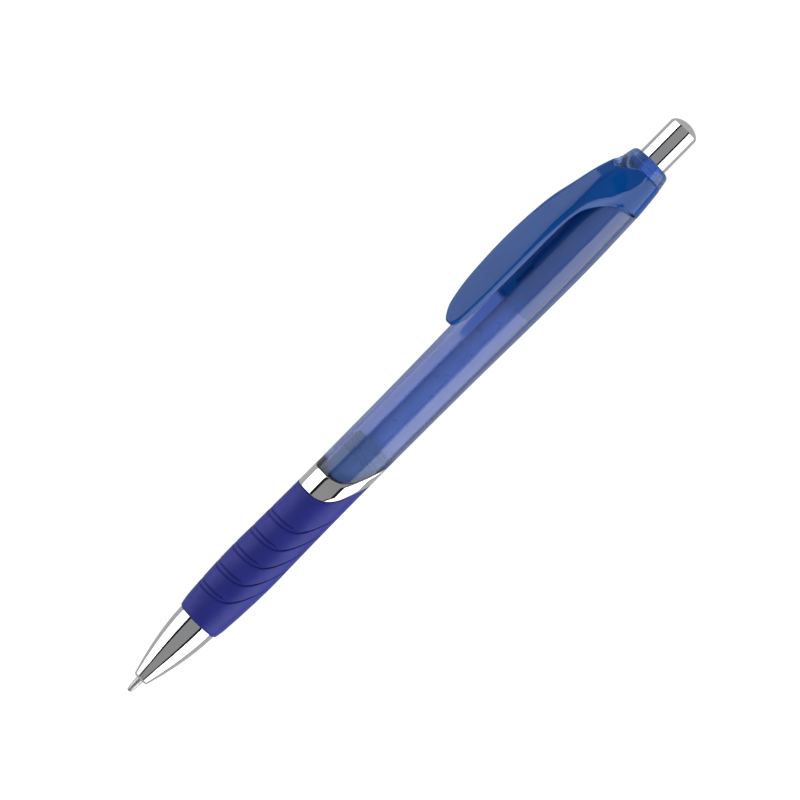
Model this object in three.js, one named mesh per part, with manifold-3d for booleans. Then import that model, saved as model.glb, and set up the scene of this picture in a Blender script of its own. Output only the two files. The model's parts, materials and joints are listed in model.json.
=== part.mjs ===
// Retractable click pen with a translucent blue barrel, a soft grip, a slanted chrome ring,
// a moulded pocket clip and a chrome push button. All sizes are in millimetres.
//
// Pen frame: +X runs along the axis from the writing ball to the button, the nose cone's mouth
// is at x = 2, and +Z points at the middle of the clip. The finished pen is then laid on its
// side, so that the barrel and one edge of the clip rest on the plane z = 0.

import * as THREE from "three";
import { mergeVertices } from "three/addons/utils/BufferGeometryUtils.js";
import Module from "manifold-3d";

const wasm = await Module();
wasm.setup();

// Driving dimensions

const GAP = 0.1; // clearance between fixed neighbours
const OUTER_SEGMENTS = 40;
const INNER_SEGMENTS = 28;

const NOSE_FRONT = 2.0;
const NOSE_BACK = 16.7;
const NOSE_FRONT_RADIUS = 1.45;
const NOSE_BACK_RADIUS = 4.05;
const NOSE_CURVE = 1.72;
const NOSE_BORE = 1.15;
const SPRING_SEAT = 8.6;
const SPRING_POCKET_RADIUS = 2.35;
const NOSE_SPIGOT_END = 22.0;
const NOSE_SPIGOT_RADIUS = 3.15;

const CORE_RADIUS = 3.8;
const CORE_BORE = 2.65;
const CORE_END = 62.3;
const THREAD_RADIUS = 4.1;

const RING_FRONT = 47.7;
const RING_WIDTH = 4.5;
const RING_RADIUS = 5.0;
const RING_BORE = 4.25;
const SLANT_RISE = 9.6; // how much further back the ring lies on the side away from the clip
const SLANT_POWER = 1.7;

const GROOVE_START = 21.9;
const GROOVE_PITCH = 4.45;
const GROOVE_COUNT = 5;
const GROOVE_DEPTH = 0.16;
const GROOVE_HALF_WIDTH = 0.3;

const BARREL_BORE = 4.25;
const BARREL_NECK_RADIUS = 4.75;
const BARREL_NECK_END = 127.5;
const CAP_BORE = 4.85;
const CAP_BORE_END = 127.9;
const CAP_SHOULDER_BORE = 4.2;
const CAP_RIM = 124.8;
const CAP_RIM_REACH = 3.9; // how much further forward the cap's rim runs under the clip
const CAP_PROUD = 0.06;

const COLLAR_FRONT = 131.4;
const COLLAR_DIP = 2.9;
const COLLAR_DIP_ANGLE = THREE.MathUtils.degToRad(22);
const COLLAR_END = 134.2;
const COLLAR_NECK_FRONT = 128.2;
const COLLAR_NECK_RADIUS = 4.1;
const COLLAR_BORE = 3.25;
const COLLAR_STOP = 132.6;

const CLIP_ROOT = 128.4;
const CLIP_FLAT = [103, 109]; // stretch of the clip's outer face that is flat
const CLIP_HEIGHT = 10.5; // outer face above the pen's axis
const CLIP_HALF_WIDTH = 3.45;

const BUTTON_RADIUS = 3.0;
const BUTTON_FRONT = 126.1;
const BUTTON_END = 143.85;
const BUTTON_FLANGE_RADIUS = 3.4;

const MECHANISM_FRONT = 97.8;
const GUIDE_END = 127.6;
const GUIDE_RADIUS = 4.1;
const GUIDE_BORE = 3.55;
const RIB_START = 113.0;
const RIB_END = 124.3;
const RIB_BORE = 2.8;
const CAM_RADIUS = 2.5;
const VANE_RADIUS = 3.4;
const VANE_WIDTH = 1.2;
const TOOTH_COUNT = 8;
const TOOTH_HEIGHT = 0.9;
const TOOTH_CLEARANCE = 0.15;
const ROTOR_FRONT = 101.5;
const ROTOR_BACK = 112.4;

const BALL_RADIUS = 0.35;
const BALL_CENTRE = -0.7;
const TUBE_RADIUS = 1.65;
const TUBE_BORE = 1.2;
const TUBE_FRONT = 29.6;
const TUBE_BACK = 105.0;
const INK_RADIUS = 1.12;
const INK_BACK = 88.0;

// Outer radius of the shell behind the grip, and of the grip, along the pen

const SHELL_OUTLINE = [
  [47, 4.96],
  [62, 4.98],
  [72, 5.04],
  [86, 5.2],
  [98.5, 5.45],
  [111, 5.55],
  [119, 5.42],
  [125, 5.2],
  [128, 4.95],
  [COLLAR_FRONT, 4.58],
  [133.2, 4.27],
];

const GRIP_OUTLINE = [
  [16.5, 4.3],
  [18.5, 4.64],
  [22.2, 4.92],
  [25.8, 5.11],
  [31, 5.24],
  [36.7, 5.15],
  [44, 5.05],
  [58.5, 4.98],
];

// Clip seen from the side: distance of the outer face and the underside from the axis

const CLIP_TOP = [
  [87.3, 8.5],
  [88.4, 9.1],
  [91, 9.75],
  [95, 10.2],
  [99, 10.42],
  [CLIP_FLAT[0], CLIP_HEIGHT],
  [CLIP_FLAT[1], CLIP_HEIGHT],
  [113, 10.32],
  [117, 9.8],
  [121, 9.15],
  [124.5, 8.35],
  [CLIP_ROOT, 6.9],
];

const CLIP_UNDERSIDE = [
  [121.9, 3.9],
  [121.7, 5.0],
  [120.4, 6.5],
  [118.7, 7.8],
  [116.5, 8.55],
  [112.5, 8.95],
  [105, 9.1],
  [98, 9.0],
  [95.8, 8.7],
  [94.2, 7.6],
  [92.6, 7.2],
  [91, 7.3],
  [89.2, 7.9],
];

// Clip seen from outside: half width along the pen

const CLIP_WIDTHS = [
  [87.3, 0.8],
  [87.8, 1.2],
  [88.4, 1.6],
  [89.6, 2.2],
  [91.5, 2.65],
  [95, 3.08],
  [99, 3.32],
  [105, CLIP_HALF_WIDTH],
  [111.3, 3.25],
  [115, 3.06],
  [118.5, 2.7],
  [122.2, 2.35],
  [CLIP_ROOT, 2.15],
];

// Curves

function smooth(points, x) {
  // Value at x of a smooth curve through the points, which are in order of x.
  const last = points.length - 1;
  if (x <= points[0][0]) return points[0][1];
  if (x >= points[last][0]) return points[last][1];
  const next = points.findIndex((point) => point[0] > x);
  const slope = (i) => {
    const a = points[Math.max(i - 1, 0)];
    const b = points[Math.min(i + 1, last)];
    return (b[1] - a[1]) / (b[0] - a[0]);
  };
  const [x0, y0] = points[next - 1];
  const [x1, y1] = points[next];
  const span = x1 - x0;
  const t = (x - x0) / span;
  const start = (1 + 2 * t) * (1 - t) ** 2 * y0 + t * (1 - t) ** 2 * span * slope(next - 1);
  const end = t * t * (3 - 2 * t) * y1 + t * t * (t - 1) * span * slope(next);
  return start + end;
}

function between(start, end, count) {
  // count places, evenly spaced, from start to end.
  return Array.from({ length: count }, (_, i) => start + ((end - start) * i) / (count - 1));
}

const shellRadius = (x) => smooth(SHELL_OUTLINE, x);
const clipTop = (x) => smooth(CLIP_TOP, x);

function slant(angle) {
  // Shift along the pen of the ring's edges and the grip's grooves, 0 on the clip's side.
  const share = (1 - Math.cos(angle)) / 2;
  const near = share ** SLANT_POWER;
  const far = (1 - share) ** SLANT_POWER;
  return (SLANT_RISE * near) / (near + far);
}

function fromClip(angle) {
  // The same angle, between 0 and half a turn away from the clip.
  return Math.acos(THREE.MathUtils.clamp(Math.cos(angle), -1, 1));
}

const ringFront = (angle) => RING_FRONT + slant(angle);
const ringBack = (angle) => RING_FRONT + RING_WIDTH + slant(angle);
const capRim = (angle) => CAP_RIM - CAP_RIM_REACH * ((1 + Math.cos(angle)) / 2) ** 4.5;

function collarFront(angle) {
  return COLLAR_FRONT - COLLAR_DIP * Math.exp(-((fromClip(angle) / COLLAR_DIP_ANGLE) ** 2));
}

// Solids

function turned(profile, segments) {
  // A turned shape about the X axis. The profile is a list of [x, radius], or a function that
  // gives one for each angle from the clip. It runs backwards outside and forwards inside.
  const profileAt = typeof profile === "function" ? profile : () => profile;
  const first = profileAt(0);
  const outline = first.map(([x, radius]) => new THREE.Vector2(radius, x));
  const geometry = new THREE.LatheGeometry(outline, segments);
  const places = geometry.attributes.position;
  for (let i = 0; i <= segments; i += 1) {
    const angle = (-2 * Math.PI * (i % segments)) / segments;
    profileAt(angle).forEach(([x, radius], k) => {
      const side = radius * Math.sin(angle);
      places.setXYZ(i * first.length + k, x, side, radius * Math.cos(angle));
    });
  }
  geometry.computeVertexNormals();
  return geometry;
}

const closed = (points) => [...points, points[0]];

function solid(geometry) {
  // A closed geometry as a solid that can be joined and cut.
  const bare = geometry.clone();
  bare.deleteAttribute("normal");
  bare.deleteAttribute("uv");
  const merged = mergeVertices(bare, 1e-4);
  const corners = [];
  for (let i = 0; i < merged.index.count; i += 3) {
    const [a, b, c] = merged.index.array.slice(i, i + 3);
    if (a !== b && b !== c && c !== a) corners.push(a, b, c);
  }
  const mesh = new wasm.Mesh({
    numProp: 3,
    vertProperties: new Float32Array(merged.attributes.position.array),
    triVerts: new Uint32Array(corners),
  });
  return new wasm.Manifold(mesh);
}

function surface(body) {
  // The surface of a joined or cut solid as a geometry.
  const mesh = body.getMesh();
  const geometry = new THREE.BufferGeometry();
  geometry.setAttribute("position", new THREE.BufferAttribute(mesh.vertProperties, 3));
  geometry.setIndex(new THREE.BufferAttribute(mesh.triVerts, 1));
  geometry.computeVertexNormals();
  return geometry;
}

function block(front, back, halfWidth, low, high) {
  const box = new THREE.BoxGeometry(back - front, 2 * halfWidth, high - low);
  return box.translate((front + back) / 2, 0, (low + high) / 2);
}

function tooth(base, height, inner, outer, halfWidth) {
  // A wedge that stands on the face x = base, in which its foot is sunk.
  const foot = base - Math.sign(height) * 0.3;
  const outline = new THREE.Shape([
    new THREE.Vector2(foot, -halfWidth),
    new THREE.Vector2(base, -halfWidth),
    new THREE.Vector2(base + height, 0),
    new THREE.Vector2(base, halfWidth),
    new THREE.Vector2(foot, halfWidth),
  ]);
  const wedge = new THREE.ExtrudeGeometry(outline, { depth: outer - inner, bevelEnabled: false });
  return wedge.translate(0, 0, inner);
}

function addAround(body, geometry, count, start) {
  // The body joined with copies of a geometry, evenly spaced about the X axis.
  let joined = body;
  for (let i = 0; i < count; i += 1) {
    const copy = geometry.clone().rotateX(start + (2 * Math.PI * i) / count);
    joined = joined.add(solid(copy));
  }
  return joined;
}

class Helix extends THREE.Curve {
  constructor(front, back, radius, turns) {
    super();
    this.front = front;
    this.back = back;
    this.radius = radius;
    this.turns = turns;
  }

  getPoint(t, target = new THREE.Vector3()) {
    const angle = 2 * Math.PI * this.turns * t;
    const x = this.front + (this.back - this.front) * t;
    return target.set(x, this.radius * Math.sin(angle), this.radius * Math.cos(angle));
  }
}

function coil(front, back, radius, wire, turns, stepsPerTurn, sides) {
  const path = new Helix(front + wire, back - wire, radius, turns);
  const section = new THREE.Shape(
    Array.from({ length: sides }, (_, i) => {
      const angle = (2 * Math.PI * i) / sides;
      return new THREE.Vector2(wire * Math.cos(angle), wire * Math.sin(angle));
    }),
  );
  const steps = turns * stepsPerTurn;
  return new THREE.ExtrudeGeometry(section, { steps, extrudePath: path, bevelEnabled: false });
}

// Refill

function writingBall() {
  return new THREE.SphereGeometry(BALL_RADIUS, 16, 12).translate(BALL_CENTRE, 0, 0);
}

function ballSpring() {
  return coil(-0.29, 4.1, 0.27, 0.05, 9, 8, 5);
}

function tipCone() {
  const outside = [
    [-0.9, 0.38],
    [-0.84, 0.45],
    [-0.1, 0.57],
    [0.6, 0.65],
    [1.0, 0.7],
    [2.0, 0.75],
    [3.5, 0.95],
    [5.0, 1.03],
    [9.6, 1.08],
    [9.6, 0.85],
    [12.6, 0.85],
  ];
  const inside = [
    [12.6, 0.3],
    [4.2, 0.3],
    [4.2, 0.42],
    [-0.63, 0.42],
    [-0.75, 0.4],
    [-0.86, 0.33],
    [-0.9, 0.33],
  ];
  return turned(closed([...outside, ...inside]), INNER_SEGMENTS);
}

function tipHolder() {
  const outside = [
    [9.7, 1.25],
    [10.2, 1.55],
    [28, 1.55],
    [28, 2.3],
    [29.4, 2.3],
    [29.4, 1.13],
    [33, 1.13],
  ];
  const inside = [
    [33, 0.6],
    [13, 0.6],
    [13, 0.95],
    [9.7, 0.95],
  ];
  return turned(closed([...outside, ...inside]), INNER_SEGMENTS);
}

function rod(front, back, radius) {
  const profile = [
    [front, 0],
    [front, radius],
    [back, radius],
    [back, 0],
  ];
  return turned(profile, INNER_SEGMENTS);
}

function pipe(front, back, outer, inner, segments) {
  const profile = [
    [front, outer],
    [back, outer],
    [back, inner],
    [front, inner],
  ];
  return turned(closed(profile), segments);
}

function refillPlug() {
  const outside = [
    [101.2, 1.1],
    [105.1, 1.1],
    [105.1, TUBE_RADIUS],
    [105.8, TUBE_RADIUS],
  ];
  const vent = [
    [105.8, 0.4],
    [101.2, 0.4],
  ];
  return turned(closed([...outside, ...vent]), INNER_SEGMENTS);
}

// Front half

function noseRadius(x) {
  const share = (NOSE_BACK - x) / (NOSE_BACK - NOSE_FRONT);
  return NOSE_BACK_RADIUS - (NOSE_BACK_RADIUS - NOSE_FRONT_RADIUS) * share ** NOSE_CURVE;
}

function noseCone() {
  const ogive = between(NOSE_FRONT + 0.15, NOSE_BACK, 10).map((x) => [x, noseRadius(x)]);
  const profile = [
    [NOSE_FRONT, NOSE_FRONT_RADIUS - 0.15],
    ...ogive,
    [NOSE_BACK, NOSE_SPIGOT_RADIUS],
    [NOSE_SPIGOT_END, NOSE_SPIGOT_RADIUS],
    [NOSE_SPIGOT_END, SPRING_POCKET_RADIUS],
    [SPRING_SEAT, SPRING_POCKET_RADIUS],
    [SPRING_SEAT, 1.75],
    [4.6, NOSE_BORE],
    [NOSE_FRONT, NOSE_BORE],
  ];
  return turned(closed(profile), OUTER_SEGMENTS);
}

function gripCore() {
  const thread = [58.2, 59.4, 60.6].flatMap((x) => [
    [x, CORE_RADIUS],
    [x + 0.2, THREAD_RADIUS],
    [x + 0.5, THREAD_RADIUS],
    [x + 0.7, CORE_RADIUS],
  ]);
  const profile = [
    [NOSE_BACK + GAP, CORE_RADIUS],
    ...thread,
    [CORE_END - 0.5, CORE_RADIUS],
    [CORE_END, CORE_RADIUS - 0.4],
    [CORE_END, CORE_BORE],
    [NOSE_SPIGOT_END + 0.3, CORE_BORE],
    [NOSE_SPIGOT_END + 0.3, NOSE_SPIGOT_RADIUS + GAP],
    [NOSE_BACK + GAP, NOSE_SPIGOT_RADIUS + GAP],
  ];
  return turned(closed(profile), OUTER_SEGMENTS);
}

function grooveDepth(angle) {
  // The grooves are crescents: deepest towards the clip and gone at the sides.
  return GROOVE_DEPTH * THREE.MathUtils.smoothstep(Math.cos(angle), -0.2, 0.4);
}

function gripSleeve() {
  const front = NOSE_BACK + GAP;
  const bore = CORE_RADIUS + GAP;
  const grooves = Array.from({ length: GROOVE_COUNT }, (_, i) => GROOVE_START + GROOVE_PITCH * i);
  const profileAt = (angle) => {
    // Stations bend from a plain circle at the front to the ring's slant at the first groove.
    const along = (x) => x + slant(angle) * THREE.MathUtils.smoothstep(x, front, GROOVE_START - 1);
    const at = (x, cut = 0) => [along(x), smooth(GRIP_OUTLINE, along(x)) - cut];
    const grooved = grooves.flatMap((x) => [
      at(x - GROOVE_HALF_WIDTH),
      at(x, grooveDepth(angle)),
      at(x + GROOVE_HALF_WIDTH),
      at(x + GROOVE_PITCH / 2),
    ]);
    const back = ringFront(angle) - GAP;
    return closed([
      [front, smooth(GRIP_OUTLINE, front) - 0.25],
      at(front + 0.4),
      at(front + 2),
      at(front + 4),
      ...grooved,
      at(RING_FRONT - 3),
      [back - 0.15, smooth(GRIP_OUTLINE, back)],
      [back, smooth(GRIP_OUTLINE, back) - 0.15],
      [back, bore],
      [front, bore],
    ]);
  };
  return turned(profileAt, OUTER_SEGMENTS);
}

function centreRing() {
  const edge = 0.15;
  const profileAt = (angle) => {
    const front = ringFront(angle);
    const back = ringBack(angle);
    return closed([
      [front, RING_RADIUS - edge],
      [front + edge, RING_RADIUS],
      [back - edge, RING_RADIUS],
      [back, RING_RADIUS - edge],
      [back, RING_BORE],
      [front, RING_BORE],
    ]);
  };
  return turned(profileAt, OUTER_SEGMENTS);
}

// Back half

function upperBarrel() {
  const profileAt = (angle) => {
    const front = ringBack(angle) + GAP;
    const rim = capRim(angle) - GAP;
    const stations = [front + 0.15, ...between(66, 117, 8), rim - 0.1];
    return closed([
      [front, shellRadius(front) - 0.15],
      ...stations.map((x) => [x, shellRadius(x)]),
      [rim, shellRadius(rim) - 0.1],
      [rim, BARREL_NECK_RADIUS],
      [BARREL_NECK_END, BARREL_NECK_RADIUS],
      [BARREL_NECK_END, BARREL_BORE],
      [front, BARREL_BORE],
    ]);
  };
  return turned(profileAt, OUTER_SEGMENTS);
}

function capShell() {
  const profileAt = (angle) => {
    const rim = capRim(angle);
    const back = collarFront(angle) - GAP;
    const outside = between(rim + 0.12, back, 5).map((x) => [x, shellRadius(x) + CAP_PROUD]);
    return closed([
      [rim, shellRadius(rim) - 0.06],
      ...outside,
      [back, CAP_SHOULDER_BORE],
      [CAP_BORE_END, CAP_SHOULDER_BORE],
      [CAP_BORE_END, CAP_BORE],
      [rim, CAP_BORE],
    ]);
  };
  return turned(profileAt, OUTER_SEGMENTS);
}

function clipRoom() {
  // What the clip has to stay clear of: the barrel, its neck and the collar's neck.
  const profileAt = (angle) => {
    const rim = capRim(angle);
    return [
      [80, 0],
      ...[80, 90, 98, 105, 111, 116, rim].map((x) => [x, shellRadius(x) + GAP]),
      [rim, CAP_BORE],
      [CAP_BORE_END, CAP_BORE],
      [CAP_BORE_END, CAP_SHOULDER_BORE],
      [CLIP_ROOT + 3, CAP_SHOULDER_BORE],
      [CLIP_ROOT + 3, 0],
    ];
  };
  return solid(turned(profileAt, OUTER_SEGMENTS));
}

function clipCap() {
  const sideways = { depth: 2 * CLIP_HALF_WIDTH + 2, bevelEnabled: false };
  const side = [...CLIP_TOP, [CLIP_ROOT, 3.9], ...CLIP_UNDERSIDE];
  const sideShape = new THREE.Shape(side.map(([x, height]) => new THREE.Vector2(x, height)));
  const sideBody = new THREE.ExtrudeGeometry(sideShape, sideways);
  sideBody.rotateX(Math.PI / 2).translate(0, CLIP_HALF_WIDTH + 1, 0);

  const right = CLIP_WIDTHS.map(([x, width]) => new THREE.Vector2(x, width));
  const left = CLIP_WIDTHS.map(([x, width]) => new THREE.Vector2(x, -width)).reverse();
  const topShape = new THREE.Shape([...right, ...left]);
  const topBody = new THREE.ExtrudeGeometry(topShape, { depth: CLIP_HEIGHT, bevelEnabled: false });
  topBody.translate(0, 0, 1);

  const clip = solid(sideBody).intersect(solid(topBody)).subtract(clipRoom());
  return surface(clip.add(solid(capShell())));
}

function topCollar() {
  const rampEnd = COLLAR_FRONT;
  const profileAt = (angle) => {
    const front = collarFront(angle);
    const ramp = 1 - THREE.MathUtils.smoothstep(fromClip(angle), 0.35, 0.6);
    const at = (x) => {
      const shell = shellRadius(x);
      const share = THREE.MathUtils.clamp((rampEnd - x) / (rampEnd - CLIP_ROOT), 0, 1);
      return [x, shell + ramp * share * (clipTop(CLIP_ROOT) - shell)];
    };
    return closed([
      ...between(front, 133.2, 5).map(at),
      [133.8, 4.05],
      [COLLAR_END, 3.75],
      [COLLAR_END, COLLAR_BORE],
      [COLLAR_STOP, COLLAR_BORE],
      [COLLAR_STOP, COLLAR_BORE + 0.35],
      [COLLAR_NECK_FRONT, COLLAR_BORE + 0.35],
      [COLLAR_NECK_FRONT, COLLAR_NECK_RADIUS],
      [front, COLLAR_NECK_RADIUS],
    ]);
  };
  return turned(profileAt, OUTER_SEGMENTS);
}

// Click mechanism

function pushButton() {
  const profile = [
    [BUTTON_FRONT, BUTTON_FLANGE_RADIUS],
    [BUTTON_FRONT + 0.8, BUTTON_FLANGE_RADIUS],
    [BUTTON_FRONT + 0.8, BUTTON_RADIUS],
    [142.3, BUTTON_RADIUS],
    [142.9, 2.9],
    [143.4, 2.55],
    [143.7, 1.9],
    [BUTTON_END, 0.9],
    [BUTTON_END, 0],
    [140, 0],
    [140, 2.4],
    [BUTTON_FRONT, 2.4],
    [BUTTON_FRONT, BUTTON_FLANGE_RADIUS],
  ];
  return turned(profile, OUTER_SEGMENTS);
}

function guideSleeve() {
  const tube = solid(pipe(MECHANISM_FRONT, GUIDE_END, GUIDE_RADIUS, GUIDE_BORE, INNER_SEGMENTS));
  const rib = block(RIB_START, RIB_END, 0.7, RIB_BORE, GUIDE_RADIUS - 0.25);
  const keyway = block(98.7, 105.6, 1.2, GUIDE_BORE - 0.6, GUIDE_RADIUS + 1);
  return surface(addAround(tube, rib, 4, 0).subtract(solid(keyway)));
}

function rotorCam() {
  const profile = [
    [ROTOR_FRONT, CAM_RADIUS],
    [ROTOR_BACK, CAM_RADIUS],
    [ROTOR_BACK, 0],
    [106.2, 0],
    [106.2, 1.85],
    [ROTOR_FRONT, 1.85],
    [ROTOR_FRONT, CAM_RADIUS],
  ];
  const body = solid(turned(profile, INNER_SEGMENTS));
  const vane = block(108.9, RIB_START - 0.2, VANE_WIDTH / 2, CAM_RADIUS - 0.3, VANE_RADIUS);
  const vaned = addAround(body, vane, 4, Math.PI / 4);
  const wedge = tooth(ROTOR_BACK, TOOTH_HEIGHT, 1.3, 2.3, 0.9);
  return surface(addAround(vaned, wedge, TOOTH_COUNT, 0));
}

function thrustCam() {
  const tips = ROTOR_BACK + TOOTH_HEIGHT + TOOTH_CLEARANCE;
  const face = tips + TOOTH_HEIGHT;
  const profile = [
    [face, 0],
    [face, CAM_RADIUS],
    [125.9, CAM_RADIUS],
    [125.9, 2.3],
    [139.5, 2.3],
    [139.5, 0],
  ];
  const body = solid(turned(profile, INNER_SEGMENTS));
  const fin = block(116.5, 122.5, VANE_WIDTH / 2, CAM_RADIUS - 0.3, VANE_RADIUS);
  const finned = addAround(body, fin, 4, Math.PI / 4);
  const wedge = tooth(face, -TOOTH_HEIGHT, 1.3, 2.3, 0.9);
  return surface(addAround(finned, wedge, TOOTH_COUNT, 0));
}

// Materials

function plastic(color, roughness, opacity = 1) {
  const transparent = opacity < 1;
  return new THREE.MeshStandardMaterial({ color, roughness, metalness: 0, opacity, transparent });
}

function metal(color, roughness) {
  return new THREE.MeshStandardMaterial({ color, roughness, metalness: 1 });
}

const chrome = metal(0xd4d6da, 0.08);
const steel = metal(0xa9acb0, 0.25);
const brass = metal(0xc9a24b, 0.25);
const rubber = plastic(0x37356f, 0.75);
const blueClear = plastic(0x3d57a8, 0.12, 0.75);
const capBlue = plastic(0x3a4a9c, 0.15, 0.9);
const collarBlue = plastic(0x4f7fd0, 0.12, 0.8);
const greyPlastic = plastic(0x8d929c, 0.4);
const darkPlastic = plastic(0x1c2340, 0.45);
const clearPlastic = plastic(0xc8d2e4, 0.2, 0.6);
const ink = plastic(0x0c1660, 0.3);
const grease = plastic(0xc9c3a0, 0.3, 0.8);

// Assembly

const PIECES = {
  writing_ball: [writingBall(), steel],
  ball_spring: [ballSpring(), steel],
  tip_cone: [tipCone(), brass],
  tip_holder: [tipHolder(), clearPlastic],
  ink_tube: [pipe(TUBE_FRONT, TUBE_BACK, TUBE_RADIUS, TUBE_BORE, INNER_SEGMENTS), clearPlastic],
  ink_column: [rod(33.3, INK_BACK, INK_RADIUS), ink],
  grease_follower: [rod(INK_BACK + 0.2, INK_BACK + 4.5, INK_RADIUS), grease],
  refill_plug: [refillPlug(), clearPlastic],
  return_spring: [coil(SPRING_SEAT + 0.1, 27.9, 1.95, 0.18, 8, 12, 6), steel],
  nose_cone: [noseCone(), chrome],
  grip_core: [gripCore(), greyPlastic],
  grip_sleeve: [gripSleeve(), rubber],
  centre_ring: [centreRing(), chrome],
  upper_barrel: [upperBarrel(), blueClear],
  guide_sleeve: [guideSleeve(), darkPlastic],
  rotor_cam: [rotorCam(), darkPlastic],
  thrust_cam: [thrustCam(), darkPlastic],
  push_button: [pushButton(), chrome],
  clip_cap: [clipCap(), capBlue],
  top_collar: [topCollar(), collarBlue],
};

const pen = new THREE.Group();
for (const [name, [geometry, material]] of Object.entries(PIECES)) {
  const mesh = new THREE.Mesh(geometry, material);
  mesh.name = name;
  pen.add(mesh);
}

// At rest on its side the clip points slightly below the horizontal, until its edge touches down.
const barrelRadius = Math.max(...SHELL_OUTLINE.map((point) => point[1]));
const clipEdge = Math.hypot(CLIP_HEIGHT, CLIP_HALF_WIDTH);
const clipDroop = Math.asin(barrelRadius / clipEdge) - Math.atan(CLIP_HALF_WIDTH / CLIP_HEIGHT);
pen.rotation.x = -(Math.PI / 2 + clipDroop);

// The origin is under the middle of the pen's bounding box, on the surface that it lies on.
const lying = new THREE.Group();
lying.add(pen);
const bounds = new THREE.Box3().setFromObject(lying, true);
const middle = bounds.getCenter(new THREE.Vector3());
pen.position.set(-middle.x, -middle.y, -bounds.min.z);

export default lying;
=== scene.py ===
import json
import math

import bpy
import numpy as np
from mathutils import Matrix, Vector


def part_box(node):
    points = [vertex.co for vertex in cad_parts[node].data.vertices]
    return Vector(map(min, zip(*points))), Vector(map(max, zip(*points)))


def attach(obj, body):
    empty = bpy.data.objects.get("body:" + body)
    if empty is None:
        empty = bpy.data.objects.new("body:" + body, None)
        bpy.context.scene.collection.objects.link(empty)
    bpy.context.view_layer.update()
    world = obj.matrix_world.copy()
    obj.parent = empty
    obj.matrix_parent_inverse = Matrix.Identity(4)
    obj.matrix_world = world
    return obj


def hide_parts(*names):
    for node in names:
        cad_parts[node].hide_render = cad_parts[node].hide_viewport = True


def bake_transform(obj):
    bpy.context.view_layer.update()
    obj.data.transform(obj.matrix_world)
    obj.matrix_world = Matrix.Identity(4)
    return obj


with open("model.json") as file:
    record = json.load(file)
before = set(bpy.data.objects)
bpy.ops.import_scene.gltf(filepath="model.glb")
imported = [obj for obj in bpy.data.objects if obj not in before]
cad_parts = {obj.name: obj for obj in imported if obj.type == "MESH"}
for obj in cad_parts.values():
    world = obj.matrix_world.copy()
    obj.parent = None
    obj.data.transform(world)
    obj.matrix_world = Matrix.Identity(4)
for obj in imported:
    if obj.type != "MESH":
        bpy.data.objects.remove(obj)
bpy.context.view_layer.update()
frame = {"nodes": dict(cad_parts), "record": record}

# A click pen lying on its side. Shapes are made in the pen's own frame, in millimetres: x runs
# from the writing ball to the button, with the nose cone's mouth at 2, z points at the middle of
# the clip, and y is across it.

MM = 0.001
BUTTON_TIP = 143.85

ball_low, ball_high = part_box("writing_ball")
MOUNTS = {mount["name"]: mount for mount in frame["record"]["mounts"]}
ALONG = Vector((1, 0, 0))
TO_CLIP = Vector(MOUNTS["clip_land"]["axis"]).normalized()
ACROSS = TO_CLIP.cross(ALONG)
AXIS = (ball_low + ball_high) / 2
AXIS.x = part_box("push_button")[1].x - BUTTON_TIP * MM
PEN = Matrix.Translation(AXIS) @ Matrix((ALONG, ACROSS, TO_CLIP)).transposed().to_4x4()


def span(node):
    """Where a node starts and ends along the pen."""
    low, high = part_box(node)
    return (low.x - AXIS.x) / MM, (high.x - AXIS.x) / MM


def radius_of(node):
    """Largest radius of a round node."""
    low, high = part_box(node)
    return (high.z - low.z) / 2 / MM


NOSE_FRONT, NOSE_SPIGOT_END = span("nose_cone")
GRIP_FRONT = span("grip_sleeve")[0]
RING_FRONT, RING_FAR_BACK = span("centre_ring")
BARREL_NECK_END = span("upper_barrel")[1]
CLIP_TIP = span("clip_cap")[0]
COLLAR_END = span("top_collar")[1]
BUTTON_FRONT, BUTTON_END = span("push_button")
TUBE_FRONT, TUBE_BACK = span("ink_tube")
INK_FRONT, INK_BACK = span("ink_column")
GREASE_FRONT, GREASE_BACK = span("grease_follower")
SPRING_FRONT, SPRING_BACK = span("return_spring")

RING_WIDTH = 4.5
SLANT_RISE = RING_FAR_BACK - RING_FRONT - RING_WIDTH
SLANT_POWER = 1.7
RING_RADIUS = radius_of("centre_ring")
RING_BORE = 4.25
JOIN = 0.05  # half the gap seen between fixed neighbours

NOSE_BACK = GRIP_FRONT - 0.03
NOSE_BACK_RADIUS = 4.05
NOSE_FRONT_RADIUS = 1.45
NOSE_CURVE = 1.72
NOSE_MOUTH = 1.15
NOSE_SPIGOT_RADIUS = 3.15
SPRING_SEAT = 8.6
SPRING_POCKET_RADIUS = 2.35
SPRING_SEAT_BORE = 1.75
NOSE_BORE_START = 4.6

GROOVES = [22.05 + 4.45 * i for i in range(5)]
GROOVE_DEPTH = 0.3
GROOVE_WIDTH = 0.92
GROOVE_END_WIDTH = 0.42
GRIP_BORE = 3.9
# Each groove is two cuts with a shallow land between them. Each cut's outline is (along, share of
# the depth).
FIRST_CUT = [(-0.13, 0.3), (-0.07, 0.9), (0, 1), (0.07, 0.9)]
SECOND_CUT = [(-0.1, 0.4), (-0.04, 0.9), (0.02, 1), (0.08, 0.9), (0.15, 0.3)]
GROOVE_LAND = 0.25

BARREL_BORE = 4.25
NECK_RADIUS = 4.75
CAP_BORE = 4.8
CAP_RIM = 124.8
CAP_RIM_REACH = 3.9
CAP_PROUD = 0.06
RIM_GAP = 0.28  # how much wider the joint at the cap's rim is beside the clip

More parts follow.
